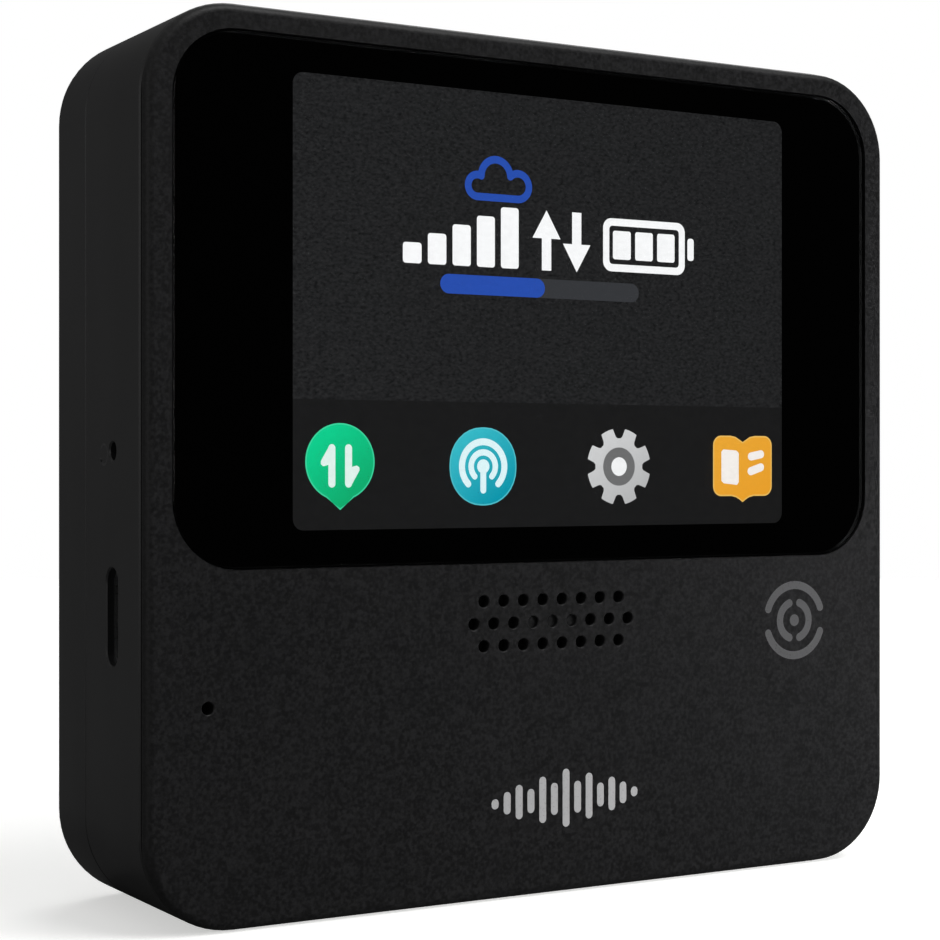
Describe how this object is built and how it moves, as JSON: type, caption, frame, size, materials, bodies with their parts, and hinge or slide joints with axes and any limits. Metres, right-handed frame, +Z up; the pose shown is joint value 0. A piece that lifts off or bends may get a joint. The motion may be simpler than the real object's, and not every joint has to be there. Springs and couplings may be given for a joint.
{
  "type": "mobile hotspot",
  "caption": "Square pocket wireless hotspot that stands on its bottom edge, with a colour touch screen, a speaker grille, a side charging port, a reset pinhole and a power button.",
  "frame": {"origin": "middle of the underside that the hotspot stands on, at half of the housing's depth", "axes": "+X to the viewer's right when facing the screen, +Y from the front face to the back, +Z up"},
  "size_m": [0.087, 0.0239, 0.0851],
  "materials": {
    "cover_plastic": "fine satin texture",
    "band_plastic": "fine satin texture",
    "rear_plastic": "fine satin texture",
    "button_plastic": "satin",
    "screen_glass": "polished, tinted",
    "black_ink": "printed behind the glass",
    "clear_film": "clear film",
    "lcd_stack": "polariser film",
    "light_guide": "white reflector sheet",
    "steel": "pressed sheet",
    "screw_steel": "black zinc",
    "polyimide": "amber film",
    "black_nylon": "moulded",
    "gold_plate": "plated",
    "insert_brass": "knurled",
    "circuit_board": "solder mask",
    "chip_epoxy": "moulded epoxy",
    "ceramic": "fired ceramic",
    "graphite": "pressed graphite sheet",
    "gap_pad": "soft silicone",
    "antenna_foil": "copper foil under film",
    "coax_jacket": "thin jacket",
    "battery_foil": "laminated pouch",
    "tape": "double-sided tape",
    "foam": "closed-cell foam",
    "lead_jacket": "thin jacket",
    "soft_rubber": "matte",
    "dome_foil": "pressed foil",
    "coil_copper": "wound wire",
    "mesh_cloth": "fine woven mesh",
    "silver_print": "pad-printed silver ink",
    "grey_print": "pad-printed grey ink",
    "screen_image": "lit image on the display"
  },
  "bodies": {
    "housing": {"antenna_bottom": "antenna_foil", "antenna_coax": "coax_jacket", "antenna_side": "antenna_foil", "antenna_top": "antenna_foil", "backlight": "light_guide", "battery_cell": "battery_foil", "battery_foam": "foam", "battery_leads": "lead_jacket", "battery_plug": "black_nylon", "battery_protection": "circuit_board", "battery_tape": "tape", "board_screws": "screw_steel", "bracket_screws": "screw_steel", "coax_plugs": "gold_plate", "cover_glass": "screen_glass", "flex_connectors": "black_nylon", "front_cover": "cover_plastic", "glass_adhesive": "tape", "heat_spreader": "graphite", "housing_screws": "screw_steel", "ink_border": "black_ink", "lcd_bracket": "steel", "lcd_cell": "lcd_stack", "lcd_flex": "polyimide", "main_board": "circuit_board", "mic_board": "circuit_board", "mic_boot": "soft_rubber", "mic_contacts": "gold_plate", "microphone": "steel", "middle_frame": "band_plastic", "modem_chip": "chip_epoxy", "modem_shield": "steel", "power_switch": "black_nylon", "processor_chip": "chip_epoxy", "processor_shield": "steel", "rear_cover": "rear_plastic", "reset_switch": "black_nylon", "rubber_feet": "soft_rubber", "screw_inserts": "insert_brass", "small_components": "ceramic", "speaker_contacts": "gold_plate", "speaker_frame": "black_nylon", "speaker_gasket": "foam", "speaker_magnet": "steel", "speaker_mesh": "mesh_cloth", "speaker_screws": "screw_steel", "speaker_surround": "soft_rubber", "support_chips": "chip_epoxy", "thermal_pad": "gap_pad", "touch_flex": "polyimide", "touch_sensor": "clear_film", "usb_contacts": "gold_plate", "usb_shell": "steel", "usb_tongue": "black_nylon"},
    "power_key": {"power_button": "button_plastic", "power_plunger": "black_nylon"},
    "reset_key": {"reset_plunger": "black_nylon"},
    "speaker_cone": {"speaker_dome": "dome_foil", "voice_coil": "coil_copper"}
  },
  "joints": [
    {"name": "power_button_press", "type": "slide", "parent": "housing", "child": "power_key", "axis": [-1, 0, 0], "range_m": [0, 0.0003], "stiffness_N_per_m": 4000},
    {"name": "reset_press", "type": "slide", "parent": "housing", "child": "reset_key", "axis": [1, 0, 0], "range_m": [0, 0.0003], "stiffness_N_per_m": 4000},
    {"name": "speaker_travel", "type": "slide", "parent": "housing", "child": "speaker_cone", "axis": [0, -1, 0], "range_m": [-0.00025, 0.00025], "stiffness_N_per_m": 2500}
  ]
}
